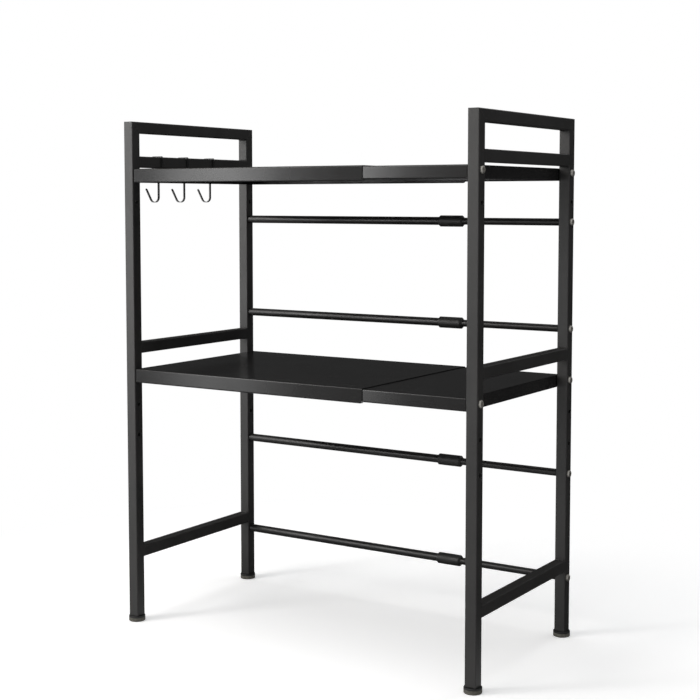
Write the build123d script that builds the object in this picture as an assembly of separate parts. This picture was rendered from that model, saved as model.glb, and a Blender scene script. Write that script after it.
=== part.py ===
from build123d import *
import math
import os

# Free-standing kitchen rack with two shelves that widen like a telescope.
# Millimetres, +Z up, Z = 0 is the floor, +X runs from the left frame to the right frame,
# and -Y is the front.

# ---- driving dimensions -------------------------------------------------------------------

# whole rack
height = 860.0
width = 675.0
depth = 338.0

# square tube of the two side frames
tube = 19.0
tube_wall = 1.0
tube_corner = 1.6

# heights of the shelves and rails
top_shelf_drop = 79.4
middle_shelf_height = 440.6
upper_guard_gap = 2.3
middle_guard_gap = 25.4
bottom_rail_height = 111.5

# shelf trays, folded from sheet
sheet = 0.8
bend_radius = 2.2
shelf_inset = 1.0
outer_tray_length = 457.0
outer_tray_height = 23.6
inner_tray_length = 300.0
inner_tray_height = 20.2
tray_flange = 10.0
tray_slide_clearance = 0.3
tray_corner_cut = 4.0

# round back rails, an outer tube and an inner tube that slides in it
back_tube_diameter = 12.0
back_tube_wall = 0.8
outer_back_tube_wall = 0.7
back_tube_slide_clearance = 0.3
inner_back_tube_length = 320.0
rail_below_top_shelf = 88.8
rail_above_middle_shelf = 75.6
rail_below_middle_shelf = 165.4
rail_below_bottom_rail = 11.9

# collar on the mouth of each outer back tube
collar_diameter = 19.5
collar_length = 45.5
collar_lip = 4.0
collar_chamfer = 3.0
collar_heel_chamfer = 1.2

# bolts, nuts and threaded inserts
bolt_diameter = 6.0
bolt_head_diameter = 12.0
bolt_head_height = 3.3
bolt_head_dome = 2.3
socket_size = 4.0
socket_depth = 2.0
bolt_hole_clearance = 0.2
thread_clearance = 0.05
shelf_bolt_drop = 9.0
nut_size = 10.0
nut_height = 5.0
bolt_tip = 0.7
insert_length = 15.0
insert_clearance = 0.05
insert_engagement = 11.0
top_hole_pitch = 47.2
middle_hole_pitch = 52.7

# feet and the plugs they screw into
foot_diameter = 28.0
pad_height = 6.5
pad_edge_radius = 1.2
pad_recess_diameter = 22.0
pad_floor = 3.5
foot_base_height = 2.8
foot_base_chamfer = 0.5
foot_boss_diameter = 15.0
foot_boss_height = 0.8
stud_diameter = 8.0
stud_length = 25.0
stud_socket_depth = 4.0
plug_flange = 1.8
plug_height = 22.0
plug_clearance = 0.1

# hooks on the left guard rail, bent from flat strip
hook_width = 4.5
hook_thickness = 1.4
hook_clearance = 0.25
hook_places = (-94.2, -24.8, 48.6)
hook_short_leg = 15.0
hook_bend_radius = 4.0
hook_shoulder = 3.5
hook_slant = 16.0
hook_stem_gap = 6.7
hook_length = 80.0
hook_loop_radius = 8.5
hook_loop_width = 15.2
hook_tip_height = 21.5
hook_tip_spread = 12.1

# ---- places worked out from the driving dimensions ------------------------------------------

# across a hook, from the guard rail's outer face, and how far its leaning tip reaches out
hook_stem_x = tube - hook_stem_gap - hook_thickness / 2
hook_loop_x = hook_stem_x - hook_loop_width
hook_tip_x = hook_loop_x - hook_tip_spread
hook_tip_lean = math.atan2(hook_tip_spread, hook_tip_height)
hook_reach = (
    -hook_tip_x + hook_width / 2 * math.sin(hook_tip_lean) + hook_thickness / 2 * math.cos(hook_tip_lean)
)

# the origin stands under the middle of everything, so the hooks shift the frames to the right
foot_overhang = (foot_diameter - tube) / 2
frame_middle = (hook_reach - foot_overhang) / 2
left_face = frame_middle - width / 2
right_face = frame_middle + width / 2
left_post_x = left_face + tube / 2
right_post_x = right_face - tube / 2
left_inner_face = left_face + tube
right_inner_face = right_face - tube

front_face = -depth / 2
rear_face = depth / 2
front_post_y = front_face + tube / 2
rear_post_y = rear_face - tube / 2

foot_disc_top = pad_height + foot_base_height
plug_bottom = foot_disc_top + foot_boss_height
post_bottom = plug_bottom + plug_flange

top_shelf_height = height - top_shelf_drop
upper_guard_bottom = top_shelf_height + upper_guard_gap
middle_guard_bottom = middle_shelf_height + middle_guard_gap
inner_deck_drop = sheet + tray_slide_clearance

back_rail_heights = (
    top_shelf_height - rail_below_top_shelf,
    middle_shelf_height + rail_above_middle_shelf,
    middle_shelf_height - rail_below_middle_shelf,
    bottom_rail_height - rail_below_bottom_rail,
)
shelf_bolt_heights = (
    top_shelf_height - shelf_bolt_drop,
    middle_shelf_height - shelf_bolt_drop,
)
spare_hole_heights = (
    shelf_bolt_heights[0] - top_hole_pitch,
    shelf_bolt_heights[1] - middle_hole_pitch,
    shelf_bolt_heights[1] - 2 * middle_hole_pitch,
)

outer_back_tube_bore = back_tube_diameter + 2 * back_tube_slide_clearance
outer_back_tube_diameter = outer_back_tube_bore + 2 * outer_back_tube_wall
bolt_hole_diameter = bolt_diameter + 2 * bolt_hole_clearance
tray_width = depth - 2 * shelf_inset
shelf_bolt_length = tube + sheet + nut_height + bolt_tip
rail_bolt_length = tube + insert_engagement

os.makedirs("parts", exist_ok=True)


def save(name, *solids):
    """Write one node: a single solid, or a group of identical separate solids."""
    shape = solids[0] if len(solids) == 1 else Compound(children=list(solids))
    export_step(shape, f"parts/{name}.step")


# ---- side frames ---------------------------------------------------------------------------

def tube_profile():
    """Cross-section of the square tube, with rounded corners inside and out."""
    bore = tube - 2 * tube_wall
    return RectangleRounded(tube, tube, tube_corner) - RectangleRounded(bore, bore, tube_corner - tube_wall)


def upright_tube(x, y, z_low, z_high):
    return Pos(x, y, z_low) * extrude(tube_profile(), z_high - z_low)


def rail_tube(x, z_middle, y_low, y_high):
    """Square tube that runs from front to back."""
    section = Plane(origin=(x, y_low, z_middle), x_dir=(1, 0, 0), z_dir=(0, 1, 0)) * tube_profile()
    return extrude(section, y_high - y_low, dir=(0, 1, 0))


def mitre_wedge(x, y_corner, towards_middle):
    """Triangular block over the slanted joint at a top corner, on the rail's side of it."""
    outline = Polyline(
        (y_corner, height),
        (y_corner + towards_middle * 2 * tube, height),
        (y_corner + towards_middle * 2 * tube, height - 2 * tube),
        close=True,
    )
    face = Plane.YZ * make_face(outline)
    return Pos(x - tube, 0, 0) * extrude(face, 2 * tube, dir=(1, 0, 0))


def cross_hole(x, y, z):
    """Hole for a bolt, through both walls of a post from side to side."""
    return Pos(x, y, z) * Rot(0, 90, 0) * Cylinder(bolt_hole_diameter / 2, 2 * tube)


def make_post(x, y, y_corner, towards_middle, hole_heights):
    post = upright_tube(x, y, post_bottom, height) - mitre_wedge(x, y_corner, towards_middle)
    for z in hole_heights:
        post -= cross_hole(x, y, z)
    return post


def make_top_rail(x):
    rail = rail_tube(x, height - tube / 2, front_face, rear_face)
    front_end = rail & mitre_wedge(x, front_face, 1)
    rear_end = rail & mitre_wedge(x, rear_face, -1)
    middle = Pos(x, 0, height - tube / 2) * Box(2 * tube, depth - 3 * tube, 2 * tube)
    return (rail & middle) + front_end + rear_end


front_holes = shelf_bolt_heights + spare_hole_heights
rear_holes = front_holes + back_rail_heights
for side, x in (("left", left_post_x), ("right", right_post_x)):
    save(f"{side}_front_post", make_post(x, front_post_y, front_face, 1, front_holes))
    save(f"{side}_rear_post", make_post(x, rear_post_y, rear_face, -1, rear_holes))
    save(f"{side}_top_rail", make_top_rail(x))
    for rail_name, rail_bottom in (
        ("upper_guard_rail", upper_guard_bottom),
        ("middle_guard_rail", middle_guard_bottom),
        ("bottom_rail", bottom_rail_height),
    ):
        rail = rail_tube(x, rail_bottom + tube / 2, front_face + tube, rear_face - tube)
        save(f"{side}_{rail_name}", rail)


# ---- shelf trays ---------------------------------------------------------------------------

def make_tray(length, tray_depth, tray_height, bolt_drop, corner_cut):
    """Folded tray, upside down: a deck with aprons on three sides and a lip turned in below.

    The closed end lies in X = 0, the deck's top in Z = 0, and the open end at X = length.
    """
    def closed_box(inset, reach):
        low_x, high_x = inset, reach
        block = Box(high_x - low_x, tray_depth - 2 * inset, tray_height - 2 * inset)
        block = Pos((low_x + high_x) / 2, 0, -tray_height / 2) * block
        folds = [edge for edge in block.edges() if edge.center().X < high_x - 0.001]
        return fillet(folds, bend_radius - inset)

    overrun = 5.0
    tray = closed_box(0, length) - closed_box(sheet, length + overrun)
    window = Box(length, tray_depth - 2 * tray_flange, tray_height)
    tray -= Pos(length / 2 + tray_flange, 0, -tray_height) * window
    for y in (front_post_y, rear_post_y):
        tray -= Pos(0, y, -bolt_drop) * Rot(0, 90, 0) * Cylinder(bolt_hole_diameter / 2, 4 * sheet)
    if corner_cut > 0:
        cut = Rot(0, 45, 0) * Box(corner_cut * math.sqrt(2), 2 * tray_depth, corner_cut * math.sqrt(2))
        tray -= Pos(length, 0, -tray_height) * cut
    return tray


for shelf, deck_height in (("top_shelf", top_shelf_height), ("middle_shelf", middle_shelf_height)):
    outer = make_tray(outer_tray_length, tray_width, outer_tray_height, shelf_bolt_drop, tray_corner_cut)
    save(f"{shelf}_outer_tray", Pos(left_inner_face, 0, deck_height) * outer)

    inner_width = tray_width - 2 * (sheet + tray_slide_clearance)
    inner_bolt_drop = shelf_bolt_drop - inner_deck_drop
    inner = make_tray(inner_tray_length, inner_width, inner_tray_height, inner_bolt_drop, 0)
    inner = mirror(inner, about=Plane.YZ)
    save(f"{shelf}_inner_tray", Pos(right_inner_face, 0, deck_height - inner_deck_drop) * inner)


# ---- back rails ----------------------------------------------------------------------------

def round_tube(x_low, x_high, z, diameter, bore):
    length = x_high - x_low
    ring = Cylinder(diameter / 2, length) - Cylinder(bore / 2, 2 * length)
    return Pos((x_low + x_high) / 2, rear_post_y, z) * Rot(0, 90, 0) * ring


tray_mouth = left_inner_face + outer_tray_length
outer_tube_mouth = tray_mouth - collar_lip


def make_collar(z):
    """Sleeve on the end of the outer tube; its lip closes in around the inner tube."""
    sleeve = Pos(0, 0, collar_length / 2) * Cylinder(collar_diameter / 2, collar_length)
    sleeve = chamfer(sleeve.edges().group_by(Axis.Z)[-1], collar_chamfer)
    sleeve = chamfer(sleeve.edges().group_by(Axis.Z)[0], collar_heel_chamfer)
    seat = Cylinder(outer_back_tube_diameter / 2 + insert_clearance, 2 * (collar_length - collar_lip))
    sleeve -= seat
    sleeve -= Cylinder(outer_back_tube_bore / 2, 4 * collar_length)
    return Pos(tray_mouth - collar_length, rear_post_y, z) * Rot(0, 90, 0) * sleeve


def make_insert(x_low, z, tube_bore):
    """Threaded plug pressed into the end of a back tube, for the bolt through the post."""
    outer = tube_bore - 2 * insert_clearance
    return round_tube(x_low, x_low + insert_length, z, outer, bolt_diameter + 2 * thread_clearance)


inner_back_tube_bore = back_tube_diameter - 2 * back_tube_wall
for number, z in enumerate(back_rail_heights, start=1):
    outer_ends = (left_inner_face, outer_tube_mouth)
    outer_tube = round_tube(*outer_ends, z, outer_back_tube_diameter, outer_back_tube_bore)
    save(f"back_rail_{number}_outer_tube", outer_tube)
    inner_low = right_inner_face - inner_back_tube_length
    inner_tube = round_tube(inner_low, right_inner_face, z, back_tube_diameter, inner_back_tube_bore)
    save(f"back_rail_{number}_inner_tube", inner_tube)

save("back_rail_collars", *[make_collar(z) for z in back_rail_heights])
for side, insert_x, bore in (
    ("left", left_inner_face, outer_back_tube_bore),
    ("right", right_inner_face - insert_length, inner_back_tube_bore),
):
    save(f"{side}_rail_inserts", *[make_insert(insert_x, z, bore) for z in back_rail_heights])


# ---- bolts and nuts ------------------------------------------------------------------------

def make_bolt(shank_length):
    """Button-head bolt along Z: the shank hangs down from Z = 0 and the head stands on it."""
    head = Pos(0, 0, bolt_head_height / 2) * Cylinder(bolt_head_diameter / 2, bolt_head_height)
    head = fillet(head.edges().group_by(Axis.Z)[-1], bolt_head_dome)
    socket = extrude(RegularPolygon(socket_size / 2, 6, major_radius=False), socket_depth)
    head -= Pos(0, 0, bolt_head_height - socket_depth) * socket
    return head + Pos(0, 0, -shank_length / 2) * Cylinder(bolt_diameter / 2, shank_length)


def make_nut():
    """Hexagon nut along Z, standing on Z = 0."""
    hexagon = RegularPolygon(nut_size / 2, 6, major_radius=False)
    bore = Circle(bolt_diameter / 2 + thread_clearance)
    return extrude(hexagon - bore, nut_height)


post_places = [(y, z) for z in shelf_bolt_heights for y in (front_post_y, rear_post_y)]
for side, face_x, inner_x, outward in (
    ("left", left_face, left_inner_face, -1),
    ("right", right_face, right_inner_face, 1),
):
    lay_out = Rot(0, 90 * outward, 0)
    shelf_bolt = lay_out * make_bolt(shelf_bolt_length)
    save(f"{side}_shelf_bolts", *[Pos(face_x, y, z) * shelf_bolt for y, z in post_places])
    rail_bolt = lay_out * make_bolt(rail_bolt_length)
    save(f"{side}_rail_bolts", *[Pos(face_x, rear_post_y, z) * rail_bolt for z in back_rail_heights])
    nut_x = inner_x - outward * sheet
    lay_in = Rot(0, -90 * outward, 0)
    save(f"{side}_shelf_nuts", *[Pos(nut_x, y, z) * lay_in * make_nut() for y, z in post_places])


# ---- feet ----------------------------------------------------------------------------------

def disc(z_low, z_high, diameter):
    return Pos(0, 0, (z_low + z_high) / 2) * Cylinder(diameter / 2, z_high - z_low)


def make_pad():
    """Grey rubber pad, a shallow cup that grips the floor."""
    pad = disc(0, pad_height, foot_diameter)
    pad = fillet(pad.edges().group_by(Axis.Z)[0], pad_edge_radius)
    return pad - disc(pad_floor, 2 * pad_height, pad_recess_diameter)


def make_foot_base():
    """Black disc that fills the pad's cup, with a low boss and a socket for the stud."""
    base = disc(pad_height, foot_disc_top, foot_diameter)
    base = chamfer(base.edges().group_by(Axis.Z)[-1], foot_base_chamfer)
    base += disc(pad_floor, pad_height, pad_recess_diameter - 2 * insert_clearance)
    base += disc(foot_disc_top, plug_bottom, foot_boss_diameter)
    socket = disc(plug_bottom - stud_socket_depth, 2 * plug_bottom, stud_diameter + 2 * thread_clearance)
    return base - socket


def make_stud():
    stud_bottom = plug_bottom - stud_socket_depth
    return disc(stud_bottom, stud_bottom + stud_length + stud_socket_depth, stud_diameter)


def make_plug():
    """Plug in the bottom of a post; its flange covers the tube's end."""
    bore = tube - 2 * tube_wall
    flange = extrude(RectangleRounded(tube, tube, tube_corner), plug_flange)
    size = bore - 2 * plug_clearance
    body = extrude(RectangleRounded(size, size, tube_corner - tube_wall), plug_flange + plug_height)
    hole = Cylinder(stud_diameter / 2 + thread_clearance, 4 * plug_height)
    return Pos(0, 0, plug_bottom) * (flange + body - hole)


for side, x in (("left", left_post_x), ("right", right_post_x)):
    for end, y in (("front", front_post_y), ("rear", rear_post_y)):
        save(f"{side}_{end}_foot_pad", Pos(x, y, 0) * make_pad())
        save(f"{side}_{end}_foot_base", Pos(x, y, 0) * make_foot_base())
        save(f"{side}_{end}_foot_stud", Pos(x, y, 0) * make_stud())
    save(f"{side}_post_plugs", *[Pos(x, y, 0) * make_plug() for y in (front_post_y, rear_post_y)])


# ---- hooks ---------------------------------------------------------------------------------

def make_hook():
    """Hook of flat strip, in the XZ plane: X = 0 is the guard rail's outer face, Z = 0 its top."""
    half = hook_thickness / 2
    stand_off = hook_clearance + half
    inner_x = tube + stand_off
    top_z = stand_off
    shoulder_z = -tube - hook_shoulder
    loop_bottom = top_z + hook_thickness - hook_length
    points = [
        (inner_x, 0, top_z - hook_short_leg),
        (inner_x, 0, top_z),
        (-stand_off, 0, top_z),
        (-stand_off, 0, shoulder_z),
        (hook_stem_x, 0, shoulder_z - hook_slant),
        (hook_stem_x, 0, loop_bottom),
        (hook_loop_x, 0, loop_bottom),
        (hook_tip_x, 0, loop_bottom + hook_tip_height),
    ]
    corner_bend = tube_corner + stand_off
    bends = [corner_bend] * 2 + [hook_bend_radius] * 2 + [hook_loop_radius] * 2
    path = FilletPolyline(*points, radius=bends)
    start = Plane(origin=points[0], x_dir=(1, 0, 0), z_dir=(0, 0, 1))
    strip = sweep(start * Rectangle(hook_thickness, hook_width), path=path)
    for end, lean in ((points[0], 0), (points[-1], math.degrees(hook_tip_lean))):
        strip += Pos(*end) * Rot(0, 90 - lean, 0) * Cylinder(hook_width / 2, hook_thickness)
    return strip


rail_top = upper_guard_bottom + tube
for number, y in enumerate(hook_places, start=1):
    save(f"hook_{number}", Pos(left_face, y, rail_top) * make_hook())
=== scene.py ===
import math

import bmesh
import bpy
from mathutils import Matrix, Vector


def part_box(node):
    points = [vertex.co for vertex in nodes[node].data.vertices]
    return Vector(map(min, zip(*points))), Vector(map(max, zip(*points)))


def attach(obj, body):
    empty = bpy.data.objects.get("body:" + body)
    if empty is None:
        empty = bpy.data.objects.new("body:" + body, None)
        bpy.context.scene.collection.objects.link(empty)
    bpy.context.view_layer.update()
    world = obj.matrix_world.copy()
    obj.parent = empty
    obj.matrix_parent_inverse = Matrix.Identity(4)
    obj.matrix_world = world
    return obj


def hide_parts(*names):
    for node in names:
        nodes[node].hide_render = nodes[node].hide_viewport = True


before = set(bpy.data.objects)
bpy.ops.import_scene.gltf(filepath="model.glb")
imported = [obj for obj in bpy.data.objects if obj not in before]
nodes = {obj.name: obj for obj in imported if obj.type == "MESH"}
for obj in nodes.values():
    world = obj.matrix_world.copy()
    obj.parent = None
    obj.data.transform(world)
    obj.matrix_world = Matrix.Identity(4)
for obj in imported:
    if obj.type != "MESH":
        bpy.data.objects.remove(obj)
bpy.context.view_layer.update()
mm = 0.001   # sizes below are in millimetres, Blender works in metres


# camera near the photograph's: less lens shift, and it looks down a little instead
camera = dict(
    place=(1259.16, -1935.2, 728.1),
    turnLeft=32.725,      # degrees from straight back
    lookDown=4.157,
    lens=70.83,
    sensor=36.0,
    rise=-0.0714,         # shift that lifts the rack in the picture
)

def addCamera(c):
    data = bpy.data.cameras.new("camera")
    data.lens = c["lens"]
    data.sensor_width = c["sensor"]
    data.shift_y = c["rise"]
    cam = bpy.data.objects.new("camera", data)
    cam.location = Vector(c["place"]) * mm
    cam.rotation_euler = (math.radians(90 - c["lookDown"]), 0, math.radians(c["turnLeft"]))
    bpy.context.scene.collection.objects.link(cam)
    bpy.context.scene.camera = cam

addCamera(camera)
bpy.context.scene.view_settings.view_transform = "Standard"
print("camera in place")


# soft boxes: place, the point they face, width and height in mm, and how bright their cloth is
white = (1, 1, 1)
lamps = {
    "tallSoftBox": dict(
        place=(-1470, -1790, 1250), aim=(-125, -169, 1250), width=430, height=1600, glow=9.0, tint=white),
    "lowSoftBox": dict(
        place=(-1470, -1790, 225), aim=(-125, -169, 225), width=430, height=420, glow=4.3, tint=white),
    "wideSoftBox": dict(
        place=(-1500, -2300, 2050), aim=(0, -169, 800), width=2400, height=1100, glow=3.3,
        tint=(1.0, 0.95, 0.90)),
    "topSoftBox": dict(
        place=(-200, -300, 2600), aim=(0, 0, 400), width=2200, height=1800, glow=2.0, tint=white),
    "rearSoftBox": dict(
        place=(1500, 2300, 2300), aim=(0, 0, 500), width=1600, height=900, glow=1.6, tint=white),
}

def addLamp(name, s):
    data = bpy.data.lights.new(name, "AREA")
    data.shape = "RECTANGLE"
    data.size = s["width"] * mm
    data.size_y = s["height"] * mm
    data.energy = s["glow"] * math.pi * data.size * data.size_y
    data.color = s["tint"]
    lamp = bpy.data.objects.new(name, data)
    lamp.location = Vector(s["place"]) * mm
    towards = Vector(s["aim"]) * mm - lamp.location
    lamp.rotation_euler = towards.to_track_quat("-Z", "Y").to_euler()
    bpy.context.scene.collection.objects.link(lamp)

for name, s in lamps.items():
    addLamp(name, s)


# small helpers for node trees
def addNode(tree, kind, **settings):
    node = tree.nodes.new(kind)
    for key, value in settings.items():
        if key in node.inputs:
            node.inputs[key].default_value = value
        else:
            setattr(node, key, value)
    return node

def blankTree(tree):
    tree.nodes.clear()
    return tree


# the room: a pale backdrop, and softer light that falls in from the front; behind the rack it is dark
room = dict(
    backdrop=(1.0, 1.0, 1.0),
    front=0.50,           # what a glossy face mirrors of the room in front
    behind=0.05,
    turnFrom=-0.30,       # how far back a direction points, where the front ends and the back begins
    turnTo=0.25,
    fill=(0.97, 0.98, 1.0),
    fillStrength=0.42,
)

def mirroredTone(tree, backward, r):
    tone = addNode(tree, "ShaderNodeMapRange", interpolation_type="SMOOTHSTEP")
    tone.inputs["From Min"].default_value = r["turnFrom"]
    tone.inputs["From Max"].default_value = r["turnTo"]
    tone.inputs["To Min"].default_value = r["front"]
    tone.inputs["To Max"].default_value = r["behind"]
    tree.links.new(backward, tone.inputs["Value"])
    return tone.outputs[0]

def lightRoom(r):
    world = bpy.data.worlds.new("paleRoom")
    bpy.context.scene.world = world
    world.use_nodes = True
    tree = blankTree(world.node_tree)
    link = tree.links.new
    rays = addNode(tree, "ShaderNodeLightPath")
    direction = addNode(tree, "ShaderNodeSeparateXYZ")
    link(addNode(tree, "ShaderNodeTexCoord").outputs["Generated"], direction.inputs[0])
    seen = addNode(tree, "ShaderNodeBackground", Strength=1.0)
    seen.inputs["Color"].default_value = (*r["backdrop"], 1)
    mirrored = addNode(tree, "ShaderNodeBackground")
    mirrored.inputs["Color"].default_value = (*r["backdrop"], 1)
    link(mirroredTone(tree, direction.outputs["Y"], r), mirrored.inputs["Strength"])
    fill = addNode(tree, "ShaderNodeBackground", Strength=r["fillStrength"])
    fill.inputs["Color"].default_value = (*r["fill"], 1)
    glossy = addNode(tree, "ShaderNodeMath", operation="MAXIMUM")
    mirrorMix = addNode(tree, "ShaderNodeMixShader")
    seenMix = addNode(tree, "ShaderNodeMixShader")
    out = addNode(tree, "ShaderNodeOutputWorld")
    link(rays.outputs["Is Glossy Ray"], glossy.inputs[0])
    link(rays.outputs["Is Transmission Ray"], glossy.inputs[1])
    link(glossy.outputs[0], mirrorMix.inputs[0])
    link(fill.outputs[0], mirrorMix.inputs[1])
    link(mirrored.outputs[0], mirrorMix.inputs[2])
    link(rays.outputs["Is Camera Ray"], seenMix.inputs[0])
    link(mirrorMix.outputs[0], seenMix.inputs[1])
    link(seen.outputs[0], seenMix.inputs[2])
    link(seenMix.outputs[0], out.inputs[0])

lightRoom(room)


# pale floor that runs out into the backdrop
floor = dict(
    size=12000,
    colour=(0.93, 0.93, 0.925),
    rough=0.7,
    shine=0.2,
    lift=0.32,            # seen from the camera only, so that the bare floor is white and shadows stay
    fadeFrom=450,         # from the middle of the rack
    fadeTo=1000,
    mirrorScale=700,      # the room's turnFrom and turnTo times this are places along y: -210 and 175
)

def addFloor(f):
    half = f["size"] / 2 * mm
    mesh = bpy.data.meshes.new("floor")
    corners = [(-half, -half, 0), (half, -half, 0), (half, half, 0), (-half, half, 0)]
    mesh.from_pydata(corners, [], [(0, 1, 2, 3)])
    plane = bpy.data.objects.new("floor", mesh)
    bpy.context.scene.collection.objects.link(plane)
    paint = bpy.data.materials.new("floorPaint")
    paint.use_nodes = True
    tree = blankTree(paint.node_tree)
    link = tree.links.new
    rays = addNode(tree, "ShaderNodeLightPath")
    place = addNode(tree, "ShaderNodeTexCoord").outputs["Object"]

    # near the rack: matt paint, lifted a little for the camera
    matt = addNode(tree, "ShaderNodeBsdfPrincipled", Roughness=f["rough"])
    matt.inputs["Base Color"].default_value = (*f["colour"], 1)
    matt.inputs["Specular IOR Level"].default_value = f["shine"]
    liftSeen = addNode(tree, "ShaderNodeMath", operation="MULTIPLY")
    liftSeen.inputs[1].default_value = f["lift"]
    link(rays.outputs["Is Camera Ray"], liftSeen.inputs[0])
    lift = addNode(tree, "ShaderNodeEmission")
    link(liftSeen.outputs[0], lift.inputs["Strength"])
    lifted = addNode(tree, "ShaderNodeAddShader")
    link(matt.outputs[0], lifted.inputs[0])
    link(lift.outputs[0], lifted.inputs[1])

    # further out the camera sees it fade into the backdrop
    distance = addNode(tree, "ShaderNodeVectorMath", operation="LENGTH")
    link(place, distance.inputs[0])
    fade = addNode(tree, "ShaderNodeMapRange", interpolation_type="SMOOTHSTEP")
    fade.inputs["From Min"].default_value = f["fadeFrom"] * mm
    fade.inputs["From Max"].default_value = f["fadeTo"] * mm
    link(distance.outputs["Value"], fade.inputs["Value"])
    fadeSeen = addNode(tree, "ShaderNodeMath", operation="MULTIPLY")
    link(fade.outputs[0], fadeSeen.inputs[0])
    link(rays.outputs["Is Camera Ray"], fadeSeen.inputs[1])
    glow = addNode(tree, "ShaderNodeEmission", Strength=1.0)
    seen = addNode(tree, "ShaderNodeMixShader")
    link(fadeSeen.outputs[0], seen.inputs[0])
    link(lifted.outputs[0], seen.inputs[1])
    link(glow.outputs[0], seen.inputs[2])

    # its mirror image in the rack is like the room's
    depth = addNode(tree, "ShaderNodeSeparateXYZ")
    link(place, depth.inputs[0])
    backward = addNode(tree, "ShaderNodeMath", operation="DIVIDE")
    backward.inputs[1].default_value = f["mirrorScale"] * mm
    link(depth.outputs["Y"], backward.inputs[0])
    mirrored = addNode(tree, "ShaderNodeEmission")
    link(mirroredTone(tree, backward.outputs[0], room), mirrored.inputs["Strength"])
    blend = addNode(tree, "ShaderNodeMixShader")
    link(rays.outputs["Is Glossy Ray"], blend.inputs[0])
    link(seen.outputs[0], blend.inputs[1])
    link(mirrored.outputs[0], blend.inputs[2])
    out = addNode(tree, "ShaderNodeOutputMaterial")
    link(blend.outputs[0], out.inputs["Surface"])
    mesh.materials.append(paint)

addFloor(floor)
print("lights, room and floor done")


# finishes
def startFinish(name, **settings):
    finish = bpy.data.materials.new(name)
    finish.use_nodes = True
    tree = blankTree(finish.node_tree)
    shader = addNode(tree, "ShaderNodeBsdfPrincipled", **settings)
    out = addNode(tree, "ShaderNodeOutputMaterial")
    tree.links.new(shader.outputs[0], out.inputs["Surface"])
    where = addNode(tree, "ShaderNodeTexCoord").outputs["Object"]
    return finish, tree, shader, where

# noise with grains of about this many millimetres
def speckle(tree, where, grain, detail=2.0):
    noise = addNode(tree, "ShaderNodeTexNoise", Scale=1 / (grain * mm), Detail=detail)
    tree.links.new(where, noise.inputs["Vector"])
    return noise.outputs["Fac"]

def between(tree, factor, low, high, fromLow=0.3, fromHigh=0.7):
    spread = addNode(tree, "ShaderNodeMapRange")
    spread.inputs["From Min"].default_value = fromLow
    spread.inputs["From Max"].default_value = fromHigh
    spread.inputs["To Min"].default_value = low
    spread.inputs["To Max"].default_value = high
    tree.links.new(factor, spread.inputs["Value"])
    return spread.outputs[0]

def blendColour(tree, factor, first, second):
    mix = addNode(tree, "ShaderNodeMix", data_type="RGBA")
    tree.links.new(factor, mix.inputs["Factor"])
    mix.inputs["A"].default_value = (*first, 1)
    mix.inputs["B"].default_value = (*second, 1)
    return mix.outputs["Result"]

def dent(tree, height, depth, under=None):
    bump = addNode(tree, "ShaderNodeBump", Strength=1.0, Distance=depth * mm)
    tree.links.new(height, bump.inputs["Height"])
    if under is not None:
        tree.links.new(under, bump.inputs["Normal"])
    return bump.outputs[0]


# folded sheet is never quite flat: its long faces lean outwards a little towards both ends
def bow(tree, where, middle, lean):
    link = tree.links.new
    shape = addNode(tree, "ShaderNodeNewGeometry")
    facing = addNode(tree, "ShaderNodeSeparateXYZ")
    along = addNode(tree, "ShaderNodeSeparateXYZ")
    link(shape.outputs["True Normal"], facing.inputs[0])
    link(where, along.inputs[0])
    offset = addNode(tree, "ShaderNodeMath", operation="SUBTRACT")
    offset.inputs[1].default_value = middle * mm
    link(along.outputs["X"], offset.inputs[0])
    frontOrBack = addNode(tree, "ShaderNodeMath", operation="ABSOLUTE")
    link(facing.outputs["Y"], frontOrBack.inputs[0])
    tilt = addNode(tree, "ShaderNodeMath", operation="MULTIPLY")
    link(offset.outputs[0], tilt.inputs[0])
    link(frontOrBack.outputs[0], tilt.inputs[1])
    leaning = addNode(tree, "ShaderNodeMath", operation="MULTIPLY")
    leaning.inputs[1].default_value = lean / mm
    link(tilt.outputs[0], leaning.inputs[0])
    sideways = addNode(tree, "ShaderNodeCombineXYZ")
    link(leaning.outputs[0], sideways.inputs["X"])
    added = addNode(tree, "ShaderNodeVectorMath", operation="ADD")
    link(shape.outputs["Normal"], added.inputs[0])
    link(sideways.outputs[0], added.inputs[1])
    unit = addNode(tree, "ShaderNodeVectorMath", operation="NORMALIZE")
    link(added.outputs[0], unit.inputs[0])
    return unit.outputs[0]

# black powder coat: fine orange peel, with patches a little greyer and duller than others
def powderCoat(name, c):
    finish, tree, shader, where = startFinish(name)
    shader.inputs["Specular IOR Level"].default_value = c["shine"]
    link = tree.links.new
    patches = speckle(tree, where, c["patch"], detail=3)
    grains = speckle(tree, where, c["grain"])
    tone = between(tree, patches, 0, 1)
    colour = blendColour(tree, tone, c["dark"], c["pale"])
    link(colour, shader.inputs["Base Color"])
    dull = between(tree, patches, c["smooth"], c["rough"])
    dullGrain = between(tree, grains, -c["grainDull"], c["grainDull"])
    total = addNode(tree, "ShaderNodeMath", operation="ADD")
    link(dull, total.inputs[0])
    link(dullGrain, total.inputs[1])
    link(total.outputs[0], shader.inputs["Roughness"])
    bowed = bow(tree, where, *c["bow"]) if "bow" in c else None
    peel = dent(tree, speckle(tree, where, c["peel"]), c["peelDepth"], under=bowed)
    fine = dent(tree, grains, c["grainDepth"], under=peel)
    link(fine, shader.inputs["Normal"])
    return finish

frameCoat = powderCoat("frameCoat", dict(
    dark=(0.0150, 0.0144, 0.0138), pale=(0.0215, 0.0206, 0.0196), patch=60,
    shine=0.60, smooth=0.42, rough=0.50, grain=1.1, grainDull=0.03,
    peel=3.0, peelDepth=0.02, grainDepth=0.02,
))

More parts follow.
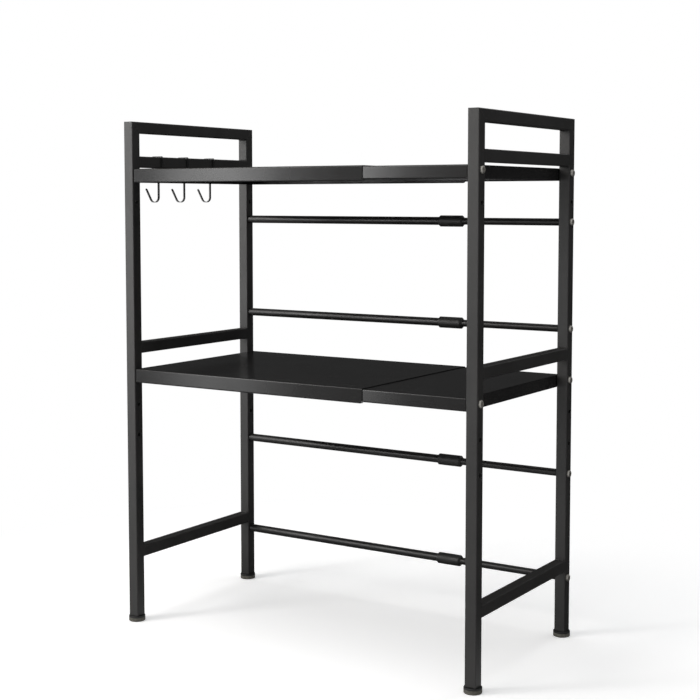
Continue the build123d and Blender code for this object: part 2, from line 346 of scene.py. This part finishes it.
def trayCoat(name, middle, lean):
    return powderCoat(name, dict(
        dark=(0.0085, 0.0082, 0.0082), pale=(0.0120, 0.0116, 0.0114), patch=90,
        shine=0.32, smooth=0.21, rough=0.26, grain=1.0, grainDull=0.02,
        peel=3.5, peelDepth=0.010, grainDepth=0.006, bow=(middle, lean),
    ))

# the face is straight at x = middle, and leans by this slope for each mm away from there
outerTrayCoat = trayCoat("outerTrayCoat", middle=-70, lean=0.00020)
innerTrayCoat = trayCoat("innerTrayCoat", middle=340, lean=0.00046)
tubeCoat = powderCoat("tubeCoat", dict(
    dark=(0.0100, 0.0097, 0.0097), pale=(0.0150, 0.0145, 0.0142), patch=50,
    shine=0.40, smooth=0.30, rough=0.38, grain=0.9, grainDull=0.03,
    peel=2.5, peelDepth=0.015, grainDepth=0.012,
))
hookCoat = powderCoat("hookCoat", dict(
    dark=(0.0100, 0.0100, 0.0100), pale=(0.0160, 0.0160, 0.0158), patch=12,
    shine=0.70, smooth=0.22, rough=0.30, grain=0.7, grainDull=0.02,
    peel=2.0, peelDepth=0.004, grainDepth=0.002,
))


# zinc plate of bolts, nuts, inserts and studs: cloudy tone, fine grain
def platedMetal(name, c):
    finish, tree, shader, where = startFinish(name, Metallic=1.0)
    link = tree.links.new
    clouds = speckle(tree, where, c["cloud"], detail=3)
    grains = speckle(tree, where, c["grain"])
    colour = blendColour(tree, between(tree, clouds, 0, 1), c["dark"], c["pale"])
    link(colour, shader.inputs["Base Color"])
    link(between(tree, grains, c["smooth"], c["rough"]), shader.inputs["Roughness"])
    link(dent(tree, grains, c["grainDepth"]), shader.inputs["Normal"])
    return finish

zincPlate = platedMetal("zincPlate", dict(
    dark=(0.52, 0.50, 0.46), pale=(0.66, 0.64, 0.60), cloud=4,
    smooth=0.46, rough=0.62, grain=0.35, grainDepth=0.01,
))


# moulded plastic of collars, plugs and foot bases; the black top disc of each foot base is partly painted
# shade, standing in for the shade that the post casts on the top of its foot
def mouldedPlastic(name, c):
    finish, tree, shader, where = startFinish(name)
    link = tree.links.new
    shader.inputs["Specular IOR Level"].default_value = c["shine"]
    flow = speckle(tree, where, c["flow"], detail=2)
    grain = speckle(tree, where, c["grain"])
    link(blendColour(tree, between(tree, flow, 0, 1), c["dark"], c["pale"]), shader.inputs["Base Color"])
    link(between(tree, flow, c["smooth"], c["rough"]), shader.inputs["Roughness"])
    link(dent(tree, grain, c["grainDepth"]), shader.inputs["Normal"])
    return finish

blackPlastic = mouldedPlastic("blackPlastic", dict(
    dark=(0.011, 0.011, 0.0108), pale=(0.018, 0.0178, 0.0172), flow=12,
    shine=0.45, smooth=0.42, rough=0.55, grain=0.5, grainDepth=0.02,
))
greyRubber = mouldedPlastic("greyRubber", dict(
    dark=(0.075, 0.072, 0.060), pale=(0.115, 0.110, 0.095), flow=5,
    shine=0.3, smooth=0.62, rough=0.80, grain=0.6, grainDepth=0.05,
))
print("finishes mixed")


# each CAD node takes the finish of what it is made of
finishes = {
    "post": frameCoat, "top_rail": frameCoat, "guard_rail": frameCoat, "bottom_rail": frameCoat,
    "outer_tray": outerTrayCoat, "inner_tray": innerTrayCoat, "tube": tubeCoat,
    "collars": blackPlastic, "plugs": blackPlastic,
    # the foot bases' black is partly their plastic and partly painted shade: it darkens the top of each
    # foot where the post shades it
    "foot_base": blackPlastic, "foot_pad": greyRubber, "foot_stud": zincPlate,
    "bolts": zincPlate, "nuts": zincPlate, "inserts": zincPlate, "hook": hookCoat,
}

def dressNodes():
    for name, node in nodes.items():
        finish = [finishes[word] for word in finishes if word in name][0]
        node.data.materials.clear()
        node.data.materials.append(finish)

dressNodes()
print("nodes dressed")


# helpers for pieces
def finishPiece(name, shape, body, finish):
    mesh = bpy.data.meshes.new(name)
    bmesh.ops.recalc_face_normals(shape, faces=shape.faces)
    for face in shape.faces:
        face.smooth = True
    shape.to_mesh(mesh)
    shape.free()
    mesh.materials.append(finish)
    piece = bpy.data.objects.new(name, mesh)
    bpy.context.scene.collection.objects.link(piece)
    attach(piece, body)
    return piece

def joinRings(shape, rings, closed=True):
    for low, high in zip(rings, rings[1:]):
        count = len(low)
        for i in range(count if closed else count - 1):
            j = (i + 1) % count
            shape.faces.new((low[i], low[j], high[j], high[i]))

def nodeBox(name):
    low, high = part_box(name)
    return Vector(low), Vector(high)


# welds: a rippled bead in each inner corner of the side frames, a ground seam where tubes are flush
weld = dict(
    leg=1.5,              # how far the bead reaches along each of the two faces
    endSize=0.2,          # the bead's share of its full size at its two ends
    pitch=1.3,            # from ripple to ripple
    ripple=0.16,
    ringsPerRipple=4,
    arcSteps=5,
    root=0.3,             # the bead's back lies this far inside the metal
    seamWidth=2.4,
    seamHeight=0.22,
    seamEnd=0.12,         # its rounding starts this share of its length beyond each end
    seamSteps=6,
    seamRings=24,
    cornerRadius=1.6,     # of the square tube
)

def addBead(shape, start, end, along, across, w):
    length = (end - start).length
    rings = []
    count = round(length / (w["pitch"] * mm)) * w["ringsPerRipple"]
    for i in range(count + 1):
        t = i / count
        fromEnd = min(t, 1 - t) * length / (w["leg"] * mm)
        taper = max(w["endSize"], min(1.0, math.sqrt(fromEnd)))
        ripple = 1 + w["ripple"] * abs(math.sin(math.pi * i / w["ringsPerRipple"]))
        reach = w["leg"] * mm * taper * ripple
        middle = start.lerp(end, t)
        ring = [shape.verts.new(middle - (along + across) * w["root"] * mm)]
        for k in range(w["arcSteps"] + 1):
            turn = math.pi / 2 * k / w["arcSteps"]
            direction = along * math.cos(turn) + across * math.sin(turn)
            ring.append(shape.verts.new(middle + reach * direction))
        rings.append(ring)
    joinRings(shape, rings)
    shape.faces.new(rings[0])
    shape.faces.new(rings[-1])

def addSeam(shape, start, end, outward, w):
    line = (end - start).normalized()
    across = line.cross(outward)
    rings = []
    for i in range(w["seamRings"] + 1):
        t = i / w["seamRings"]
        swell = math.sin(math.pi * min(1, w["seamEnd"] + t) * min(1, 1 + w["seamEnd"] - t)) ** 0.5
        middle = start.lerp(end, t)
        ring = []
        for k in range(w["seamSteps"] + 1):
            turn = math.pi * k / w["seamSteps"]
            sideways = across * math.cos(turn) * w["seamWidth"] / 2 * swell
            height = outward * math.sin(turn) * w["seamHeight"] * swell
            ring.append(shape.verts.new(middle + (sideways + height) * mm))
        rings.append(ring)
    joinRings(shape, rings, closed=False)

def weldFrame(side, w):
    shape = bmesh.new()
    sideways, forward, up = Vector((1, 0, 0)), Vector((0, 1, 0)), Vector((0, 0, 1))
    postLow, postHigh = nodeBox(f"{side}_front_post")
    left, right = postLow.x, postHigh.x
    inset = w["cornerRadius"] * mm
    for rail in ("upper_guard_rail", "middle_guard_rail", "bottom_rail"):
        low, high = nodeBox(f"{side}_{rail}")
        for y, inward in ((low.y, forward), (high.y, -forward)):
            for z, outward in ((high.z, up), (low.z, -up)):
                start, end = Vector((left + inset, y, z)), Vector((right - inset, y, z))
                addBead(shape, start, end, inward, outward, w)
            for x, outward in ((left, -sideways), (right, sideways)):
                addSeam(shape, Vector((x, y, low.z + inset)), Vector((x, y, high.z - inset)), outward, w)
    low, high = nodeBox(f"{side}_top_rail")
    tube = high.z - low.z
    for edge, inward in ((low.y, forward), (high.y, -forward)):
        corner = edge + inward.y * tube
        start, end = Vector((left + inset, corner, low.z)), Vector((right - inset, corner, low.z))
        addBead(shape, start, end, inward, -up, w)
        for x, outward in ((left, -sideways), (right, sideways)):
            outer = Vector((x, edge + inward.y * inset, high.z - inset))
            addSeam(shape, Vector((x, corner, low.z)), outer, outward, w)
    finishPiece(f"{side}_welds", shape, f"{side}_half", frameCoat)

for side in ("left", "right"):
    weldFrame(side, weld)
print("welds laid")


# threaded studs of the feet
thread = dict(
    pitch=1.25,
    depth=0.62,
    stepsPerTurn=32,
    profile=((0.0, 1.0), (0.12, 1.0), (0.44, 0.0), (0.58, 0.0), (0.90, 1.0)),   # shares of pitch and depth
    endChamfer=0.8,
)

def threadedStud(side, end, t):
    node = f"{side}_{end}_foot_stud"
    low, high = nodeBox(node)
    x, y = (low.x + high.x) / 2, (low.y + high.y) / 2
    major = (high.x - low.x) / 2
    core = major - t["depth"] * mm
    bottom, top = low.z + t["endChamfer"] * mm, high.z - t["endChamfer"] * mm
    steps = t["stepsPerTurn"]
    count = int((top - bottom) / (t["pitch"] * mm) - 1) * steps
    shape = bmesh.new()
    rings = []
    for i in range(count + 1):
        turn = 2 * math.pi * i / steps
        runIn = min(1.0, i / steps, (count - i) / steps)     # the first and last turns fade into the core
        base = bottom + t["pitch"] * mm * i / steps
        ring = []
        for share, sunk in t["profile"]:
            radius = major - (major - core) * (1 - (1 - sunk) * runIn)
            ring.append(shape.verts.new((
                x + radius * math.cos(turn), y + radius * math.sin(turn), base + share * t["pitch"] * mm)))
        rings.append(ring)
    joinRings(shape, rings, closed=False)
    for i in range(count - steps):
        shape.faces.new((rings[i][-1], rings[i + 1][-1], rings[i + 1 + steps][0], rings[i + steps][0]))
    chamfered = core - t["endChamfer"] * mm
    outline = ((chamfered, low.z), (core, bottom), (core, top), (chamfered, high.z))
    turns = [2 * math.pi * k / steps for k in range(steps)]
    coreRings = [[shape.verts.new((x + r * math.cos(turn), y + r * math.sin(turn), z)) for turn in turns]
                 for r, z in outline]
    joinRings(shape, coreRings)
    shape.faces.new(coreRings[0])
    shape.faces.new(coreRings[-1])
    piece = finishPiece(f"{side}_{end}_threaded_stud", shape, f"{side}_{end}_foot", zincPlate)
    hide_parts(node)

for side in ("left", "right"):
    for end in ("front", "rear"):
        threadedStud(side, end, thread)
print("studs threaded")


# shelf nuts: hexagons whose corners are turned down, with a countersunk bore
nut = dict(
    across=10.0,          # flat to flat
    bore=6.1,
    faceShare=0.94,       # of the flat to flat size, the round face that the turning leaves
    slope=0.577,
    stepsPerSide=8,
    countersink=0.5,
)

def addNut(shape, place, axis, height, n):
    count = 6 * n["stepsPerSide"]
    apothem = n["across"] / 2
    faceRadius = apothem * n["faceShare"]
    bore = n["bore"] / 2
    rings = [[] for _ in range(8)]
    for k in range(count):
        turn = 2 * math.pi * k / count
        fromFlat = (turn + math.pi / 6) % (math.pi / 3) - math.pi / 6     # a corner points up
        corner = apothem / math.cos(fromFlat)
        drop = (corner - faceRadius) * n["slope"]
        direction = Vector((0, math.cos(turn), math.sin(turn)))
        depth = n["countersink"]
        sunk = bore + depth
        section = (
            (bore, depth), (sunk, 0), (faceRadius, 0), (corner, drop),
            (corner, height - drop), (faceRadius, height), (sunk, height), (bore, height - depth),
        )
        for ring, (radius, level) in zip(rings, section):
            ring.append(shape.verts.new(place + (direction * radius + axis * level) * mm))
    joinRings(shape, rings)
    joinRings(shape, [rings[-1], rings[0]])

def shelfNuts(side, n):
    node = f"{side}_shelf_nuts"
    low, high = nodeBox(node)
    height = (high.x - low.x) / mm
    shape = bmesh.new()
    cornerReach = n["across"] / math.sqrt(3) * mm
    inside = Vector((1, 0, 0)) if side == "left" else Vector((-1, 0, 0))
    x = low.x if side == "left" else high.x
    frontPost, rearPost = nodeBox(f"{side}_front_post"), nodeBox(f"{side}_rear_post")
    for y in ((frontPost[0].y + frontPost[1].y) / 2, (rearPost[0].y + rearPost[1].y) / 2):
        for z in (low.z + cornerReach, high.z - cornerReach):
            addNut(shape, Vector((x, y, z)), inside, height, n)
    piece = finishPiece(f"{side}_turned_nuts", shape, f"{side}_half", zincPlate)
    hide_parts(node)

for side in ("left", "right"):
    shelfNuts(side, nut)
print("nuts turned")
